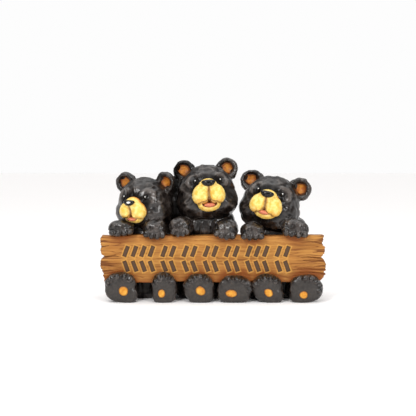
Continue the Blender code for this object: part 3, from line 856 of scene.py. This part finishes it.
# Painted shade on the plank beside the paws and feet, and darker brown along its lower edge
near_bears = np.zeros(len(plank_x))
for bear in BEARS:
    spots = [(paw_frame(bear, paw).translation, 0.42 * paw[2]) for paw in bear["paws"]]
    for foot in bear["feet"]:
        spots.append((foot_frame(bear, foot) @ Vector((0, 0, 0.022)), 0.50 * foot["ball"][1]))
    for middle, radius in spots:
        gap = np.hypot(plank_x - middle.x, plank_z - middle.z) - radius
        near_bears = np.maximum(near_bears, np.exp(-np.maximum(gap, 0.0) / 0.0075))
low_edge = np.exp(-(plank_z - PLANK_LIFT) / 0.006)
mark(plank.data, "painted_shade_and_low_edge", 0.85 * np.maximum(near_bears, low_edge))


# The muzzles: two round lobes under the nose, a bridge and a lower lip round an open mouth.
# Cast with the heads, painted warm yellow with an orange rim, with a brown line down the middle; painted
# shade turns the underside orange and a painted shadow darkens the groove under the lobes.
MUZZLE_GRAIN = 0.0008
MOUTH_AT = (0, -1.15, -0.475)
MOUTH_HALF = (0.235, 0.37, 0.115)
LIP_AT = (0, -0.80, -0.45)
LIP_HALF = (0.380, 0.35, 0.25)
BRIDGE_AT = (0, -0.88, 0.09)
BRIDGE_HALF = (0.315, 0.38, 0.265)
MIDDLE_AT = (0, -0.88, -0.12)
MIDDLE_HALF = (0.14, 0.27, 0.26)
RIM_REACH = 0.0085
LINE_DEPTH = 0.0015
SEAM_DEPTH = 0.0011

# The balls of a lobe: place, half size, and lean towards the middle
LOBES = (
    ((0.250, -0.910, -0.140), (0.268, 0.335, 0.338), 25.0),
    ((0.160, -0.945, -0.290), (0.165, 0.265, 0.175), 0.0),
)


def jaw_frame(bear):
    """The muzzle's frame, drawn up for the lower lip and the tongue."""
    return muzzle_frame(bear) @ Matrix.Translation((0, 0, bear["jaw"]))


def lobe_frames(bear):
    """The two balls of each lobe, with their half sizes. The large ones lean together at their tops."""
    for side in (-1, 1):
        for (across, forward, up), half, lean in LOBES:
            spot = muzzle_frame(bear) @ Matrix.Translation((side * across, forward, up))
            yield spot @ Matrix.Rotation(math.radians(-lean * side), 4, "Y"), half


def jaw(bear):
    """The inner muzzle and the lower lip, hollowed for the open mouth."""
    face = jaw_frame(bear)
    shapes = bmesh.new()
    ball(shapes, muzzle_frame(bear), (0, -0.74, -0.04), (0.40, 0.42, 0.36))
    ball(shapes, face, LIP_AT, LIP_HALF)
    solid = as_piece("jaw", blended("jaw", shapes, MUZZLE_GRAIN, 2))
    hollow_shape = bmesh.new()
    ball(hollow_shape, face, MOUTH_AT, MOUTH_HALF)
    hollow = as_piece("hollow", hollow_shape)
    cut = solid.modifiers.new("mouth", "BOOLEAN")
    cut.operation = "DIFFERENCE"
    cut.solver = "EXACT"
    cut.object = hollow
    made = settled(solid)
    bpy.data.objects.remove(hollow)
    return made


def paint_muzzle(mesh, bear):
    """Sharpens the line between the lobes and marks the rim, the line and the mouth for the paint. The rim
    takes painted shade on the underside, and the line a painted shadow in the groove under the lobes.
    """
    places = get_points(mesh)
    normals = get_normals(mesh)
    size = HEAD_HALF_WIDTH * bear["size"]
    seen = local(muzzle_frame(bear), places)
    wander = 0.008 * lumps(places, 0.004, 60.0)
    reach_down = soft_step(seen[:, 2], 0.14, 0.02) * soft_step(seen[:, 2], -0.50, -0.38)
    reach_down *= seen[:, 1] < -0.95
    line_half = 0.050 + 0.040 * soft_step(seen[:, 2], -0.20, -0.42)
    line = np.exp(-((seen[:, 0] + wander) / line_half) ** 2) * reach_down
    dabs = 0.00012 * lumps(places, 0.0028, 40.0) + 0.00024 * lumps(places, 0.008, 44.0)
    from_jaw = local(jaw_frame(bear), places)
    off_lip = np.linalg.norm((from_jaw - LIP_AT) / LIP_HALF, axis=1) - 1.0
    off_lobe = np.full(len(places), np.inf)
    for lobe, half in lobe_frames(bear):
        off_lobe = np.minimum(off_lobe, np.linalg.norm(local(lobe, places) / half, axis=1) - 1.0)
    low_front = soft_step(seen[:, 2], -0.22, -0.32) * soft_step(seen[:, 1], -0.80, -0.90)
    # A groove under the lobes, painted brown as a painted shadow
    lip_groove_and_shadow = np.exp(-(off_lip / 0.10) ** 2 - (off_lobe / 0.06) ** 2) * low_front
    moved = dabs - LINE_DEPTH * np.exp(-(seen[:, 0] / 0.035) ** 2) * reach_down - SEAM_DEPTH * lip_groove_and_shadow
    set_points(mesh, places + normals * moved[:, None])
    head = local(head_frame(bear), places)
    skull_gap = np.linalg.norm(head / SKULL_HALF, axis=1) - 1.0
    cheek = (np.column_stack((abs(head[:, 0]), head[:, 1:])) - CHEEK_AT) / CHEEK_HALF
    gap = np.minimum(skull_gap, np.linalg.norm(cheek, axis=1) - 1.0) * size
    mouth = np.linalg.norm((from_jaw - MOUTH_AT) / MOUTH_HALF, axis=1)
    # Painted shade: the muzzle turns orange where it faces down
    painted_underside_shade = soft_step(normals @ np.array(head_frame(bear).to_3x3().normalized())[:, 2], -0.30, -0.95)
    lip = soft_step(from_jaw[:, 2], -0.46, -0.56) * soft_step(off_lobe, 0.03, 0.10)
    mark(mesh, "rim", (soft_step(gap, RIM_REACH, 0.0002) + 0.35 * painted_underside_shade) * (1 - 0.75 * lip))
    # The brown line down the middle, and the painted shadow in the groove under the lobes
    mark(mesh, "line", np.maximum(0.9 * line, 0.8 * lip_groove_and_shadow))
    inside = soft_step(mouth, 1.14, 1.04) * soft_step(off_lobe, 0.03, 0.10)
    mark(mesh, "mouth", inside * (seen[:, 2] < -0.30))


def yellow_muzzle_paint():
    """Warm yellow acrylic, brushed unevenly, with an airbrushed orange rim under satin varnish, and orange
    painted shade on its underside.

    The line under the nose is brown, the groove under the lobes has a brown painted shadow, and the mouth
    is dark red.
    """
    material, tree, shader, place = new_paint("warm_yellow_acrylic_with_airbrushed_rim")
    brush = {"Vector": place, "Scale": 190.0, "Detail": 3.0}
    dabs = add(tree, "ShaderNodeTexNoise", None, brush).outputs[0]
    colour = coats(tree, "#eabb4b", (
        (dabs, 0.38, 0.64, 1.0, "#f6dc84"),
        # airbrushed orange rim, with painted shade on the underside
        ("rim", 0.0, 1.0, 1.0, "#d07a22"),
        # brown line down the middle, and painted shadow under the lobes
        ("line", 0.0, 1.0, 1.0, "#6a3c18"),
        ("mouth", 0.0, 1.0, 1.0, "#6b2a19"),
    ))
    bump = add(tree, "ShaderNodeBump", None, {"Strength": 0.2, "Distance": 0.0004, "Height": dabs})
    connect(tree, shader, {"Base Color": colour, "Normal": bump.outputs[0], "Roughness": 0.40})
    return material


muzzle_paint = yellow_muzzle_paint()
for bear in BEARS:
    face = muzzle_frame(bear)
    shapes = bmesh.new()
    inner = jaw(bear)
    shapes.from_mesh(inner)
    bpy.data.meshes.remove(inner)
    ball(shapes, face, BRIDGE_AT, BRIDGE_HALF)
    ball(shapes, face, MIDDLE_AT, MIDDLE_HALF)
    for lobe, half in lobe_frames(bear):
        ball(shapes, lobe, (0, 0, 0), half)
    skin = blended(bear["name"] + "_muzzle", shapes, MUZZLE_GRAIN, 3)
    paint_muzzle(skin, bear)
    piece = as_piece(bear["name"] + "_muzzle", skin)
    piece.data.materials.append(muzzle_paint)
    belongs(piece)


# The tongues: small rounded tongues that lie on the lower lips.
# Cast with the muzzles and painted salmon pink.
TONGUE_AT = (0, -0.990, -0.518)
TONGUE_HALF = (0.185, 0.17, 0.076)


def pink_tongue_paint():
    """Salmon acrylic, brushed a little unevenly, under satin varnish."""
    material, tree, shader, place = new_paint("salmon_pink_acrylic")
    brush = {"Vector": place, "Scale": 260.0, "Detail": 2.0}
    dabs = add(tree, "ShaderNodeTexNoise", None, brush).outputs[0]
    colour = coats(tree, "#c2603c", ((dabs, 0.0, 1.0, 1.0, "#dd8a68"),))
    connect(tree, shader, {"Base Color": colour, "Roughness": 0.38})
    return material


shapes = bmesh.new()
for bear in BEARS:
    ball(shapes, jaw_frame(bear), TONGUE_AT, TONGUE_HALF, (32, 20))
tongues = as_piece("tongues", shapes)
tongues.data.materials.append(pink_tongue_paint())
belongs(tongues)


# The noses and eyes: smooth knobs with two nostrils, and round eyes set in carved sockets.
# Painted with gloss black enamel, with painted reflections: a small white catchlight on each eye and a
# white glint on the left nose.
NOSE_AT = (0, -1.21, 0.165)
NOSE_HALF = (0.212, 0.15, 0.112)
NOSTRIL_AT = (0.095, 0.13)
NOSTRIL_HALF = (0.045, 0.026)
NOSTRIL_DEPTH = 0.0014
NOSE_GLINT_AT = (0.045, 0.195)
NOSE_GLINT_HALF = (0.075, 0.036)
EYE_HALF = (0.064, 0.10, 0.082)
CATCHLIGHT_SHIFT = (0.012, 0.026)
CATCHLIGHT_EDGES = (0.021, 0.013)


def gloss_black_enamel():
    """Gloss enamel: a very smooth black skin that mirrors the lights, with white painted reflections:
    catchlights on the eyes and a glint on the left nose.
    """
    material, tree, shader, _ = new_paint("gloss_black_enamel")
    # painted reflections: catchlights on the eyes and a glint on the left nose
    colour = coats(tree, "#060504", (("catchlight", 0.0, 1.0, 1.0, "#f0eeea"),))
    connect(tree, shader, {"Base Color": colour, "Roughness": 0.12, "Specular IOR Level": 0.35})
    return material


enamel = gloss_black_enamel()
for bear in BEARS:
    face = muzzle_frame(bear)
    shapes = bmesh.new()
    ball(shapes, face, NOSE_AT, NOSE_HALF, (64, 44), square=2.3, flare=0.28)
    nose = as_piece(bear["name"] + "_nose", shapes)
    places = get_points(nose.data)
    seen = local(face, places)
    off = (np.column_stack((abs(seen[:, 0]), seen[:, 2])) - NOSTRIL_AT) / NOSTRIL_HALF
    sunk = NOSTRIL_DEPTH * np.exp(-(off ** 2).sum(axis=1)) * (seen[:, 1] < -1.2)
    set_points(nose.data, places - get_normals(nose.data) * sunk[:, None])
    # Painted reflection: a white glint on the left bear's nose
    nose_glint = np.linalg.norm((seen[:, ::2] - NOSE_GLINT_AT) / NOSE_GLINT_HALF, axis=1)
    mark(nose.data, "catchlight", soft_step(nose_glint, 1.15, 0.75) * (bear["name"] == "left"))
    nose.data.materials.append(enamel)
    belongs(nose)
    shapes = bmesh.new()
    for side in (-1, 1):
        ball(shapes, head_frame(bear), (side * EYE_AT[0], *EYE_AT[1:]), EYE_HALF, (40, 28))
    eyes = as_piece(bear["name"] + "_eyes", shapes)
    seen = local(head_frame(bear), get_points(eyes.data))
    # Painted reflection: a white catchlight on each eye
    across = seen[:, 0] - EYE_AT[0] * np.sign(seen[:, 0]) - CATCHLIGHT_SHIFT[0]
    catchlight_gap = np.hypot(across, seen[:, 2] - EYE_AT[2] - CATCHLIGHT_SHIFT[1])
    mark(eyes.data, "catchlight", soft_step(catchlight_gap, *CATCHLIGHT_EDGES) * (seen[:, 1] < EYE_AT[1]))
    eyes.data.materials.append(enamel)
    belongs(eyes)


# The ear linings and sole pads: the dished insides of the ears and a round pad on each sole.
# Cast with the figure and painted orange-brown, the ears darker and the pads brighter.
PAD_RISE = 0.0022
LINING_SECTION = (
    (0.00, 0.012), (0.32, -0.022), (0.43, -0.090), (0.485, -0.150), (0.50, -0.06), (0.34, 0.10),
    (0.00, 0.14),
)


def orange_paint(name, dark, light, shaded):
    """Orange-brown acrylic, brushed unevenly and shaded towards the edge, under satin varnish."""
    material, tree, shader, place = new_paint(name)
    brush = {"Vector": place, "Scale": 150.0, "Detail": 3.0}
    dabs = add(tree, "ShaderNodeTexNoise", None, brush).outputs[0]
    colour = coats(tree, dark, ((dabs, 0.36, 0.66, 1.0, light), ("edge", 0.0, 1.0, 1.0, shaded)))
    bump = add(tree, "ShaderNodeBump", None, {"Strength": 0.25, "Distance": 0.0004, "Height": dabs})
    connect(tree, shader, {
        "Base Color": colour, "Normal": bump.outputs[0], "Roughness": 0.42, "Specular IOR Level": 0.25,
    })
    return material


shapes = bmesh.new()
for bear in BEARS:
    for ear in ear_frames(bear):
        spun(shapes, LINING_SECTION, ear, EAR_RADIUS, EAR_DISH_SHIFT)
linings = as_piece("ear_linings", shapes)
places = get_points(linings.data)
edge = np.zeros(len(places))
for bear in BEARS:
    for ear in ear_frames(bear):
        near = local(ear, places) / EAR_RADIUS
        up = near[:, 2] - EAR_DISH_SHIFT
        mine = (np.hypot(near[:, 0], up) < 0.8) & (abs(near[:, 1]) < 0.8)
        turn = np.arctan2(up, near[:, 0])
        seed = 9.0 * bear["x"] + 40.0 * ear.translation.x
        squeeze = 1.0 + 0.09 * np.sin(2 * turn + seed) + 0.07 * np.sin(3 * turn + 2.3 * seed)
        near[:, 0] *= squeeze
        near[:, 2] = EAR_DISH_SHIFT + up * squeeze
        edge = np.where(mine, np.hypot(near[:, 0], up), edge)
        world = near * EAR_RADIUS @ np.array(ear)[:3, :3].T + np.array(ear)[:3, 3]
        places = np.where(mine[:, None], world, places)
set_points(linings.data, places)
mark(linings.data, "edge", soft_step(edge, 0.20, 0.50))
linings.data.materials.append(orange_paint("orange_brown_acrylic", "#a65a14", "#d58f35", "#67300c"))
belongs(linings)

pad_places = []
for bear in BEARS:
    for foot in bear["feet"]:
        across, up, width, height, lean = foot["pad"]
        middle = Matrix.Translation((bear["x"] + across, SOLE_FRONT, up)) @ turned(0, 0, lean)
        pad_places.append((middle, width, height))
shapes = bmesh.new()
for middle, width, height in pad_places:
    ball(shapes, middle, (0, 0, 0), (width / 2, PAD_RISE, height / 2), (48, 30), square=2.2)
pads = as_piece("sole_pads", shapes)
places = get_points(pads.data)
edge = np.ones(len(places))
for middle, width, height in pad_places:
    near = local(middle, places)
    edge = np.minimum(edge, np.hypot(near[:, 0] / width, near[:, 2] / height))
uneven = 0.0006 * lumps(places, 0.0042, 50.0)
set_points(pads.data, places + get_normals(pads.data) * uneven[:, None])
mark(pads.data, "edge", 0.8 * soft_step(edge, 0.34, 0.50))
pads.data.materials.append(orange_paint("bright_orange_acrylic", "#c97f24", "#e5a944", "#8e5014"))
belongs(pads)


# The studio: a white paper floor in a white room, two soft lamps in front, a broad light from above,
# and the camera in front, a little above the plank.
CAMERA_TARGET = Vector((-0.0084, -0.038, 0.149))
CAMERA_DISTANCE = 1.5
CAMERA_RISE = 5.0
CAMERA_LENS = 82.0
SENSOR = 36.0
LAMP_SIZE = 0.40
scene = bpy.context.scene

shapes = bmesh.new()
bmesh.ops.create_grid(shapes, x_segments=1, y_segments=1, size=4.0)
floor = as_piece("floor", shapes)
paper = bpy.data.materials.new("white_paper_floor")
paper.use_nodes = True
sheet = paper.node_tree
connect(sheet, sheet.nodes["Principled BSDF"], {"Base Color": hex_colour("#fdfbfa"), "Roughness": 0.9})
floor.data.materials.append(paper)

# The room: white behind the object, dimmer on the camera's side and dimmer high up
world = bpy.data.worlds.new("studio")
world.use_nodes = True
sky = world.node_tree
way = add(sky, "ShaderNodeTexCoord").outputs["Generated"]
way = add(sky, "ShaderNodeSeparateXYZ", None, {"Vector": way}).outputs
behind = add(sky, "ShaderNodeMapRange", None, {0: way["Y"], 1: -0.15, 2: 0.25, 3: 0.26, 4: 0.982})
above = add(sky, "ShaderNodeMapRange", None, {0: way["Z"], 1: 0.17, 2: 0.42, 3: 1.0, 4: 0.42})
both = {0: behind.outputs[0], 1: above.outputs[0]}
glow = add(sky, "ShaderNodeMath", {"operation": "MULTIPLY"}, both).outputs[0]
connect(sky, sky.nodes["Background"], {"Strength": glow, "Color": (1.0, 1.0, 1.0, 1.0)})
scene.world = world


def soft_light(name, place, size, power):
    """A square lamp that faces the middle of the object."""
    lamp = bpy.data.lights.new(name, "AREA")
    lamp.shape = "SQUARE"
    lamp.size = size
    lamp.energy = power
    holder = bpy.data.objects.new(name, lamp)
    holder.location = place
    holder.rotation_euler = (Vector((0, 0, 0.1)) - Vector(place)).to_track_quat("-Z", "Y").to_euler()
    scene.collection.objects.link(holder)


soft_light("key", (-0.60, -1.15, 1.05), LAMP_SIZE, 11.5)
soft_light("fill", (0.80, -1.25, 0.70), LAMP_SIZE, 9.0)
overhead = bpy.data.lights.new("overhead", "SUN")
overhead.energy = 2.2
overhead.angle = math.radians(80.0)
scene.collection.objects.link(bpy.data.objects.new("overhead", overhead))

lens = bpy.data.cameras.new("camera")
lens.sensor_width = SENSOR
lens.lens = CAMERA_LENS
lens.clip_start = 0.01
camera = bpy.data.objects.new("camera", lens)
rise = math.radians(CAMERA_RISE)
away = Vector((0.0, -math.cos(rise), math.sin(rise)))
camera.location = CAMERA_TARGET + away * CAMERA_DISTANCE
camera.rotation_euler = (-away).to_track_quat("-Z", "Y").to_euler()
scene.collection.objects.link(camera)
scene.camera = camera
scene.view_settings.view_transform = "Standard"
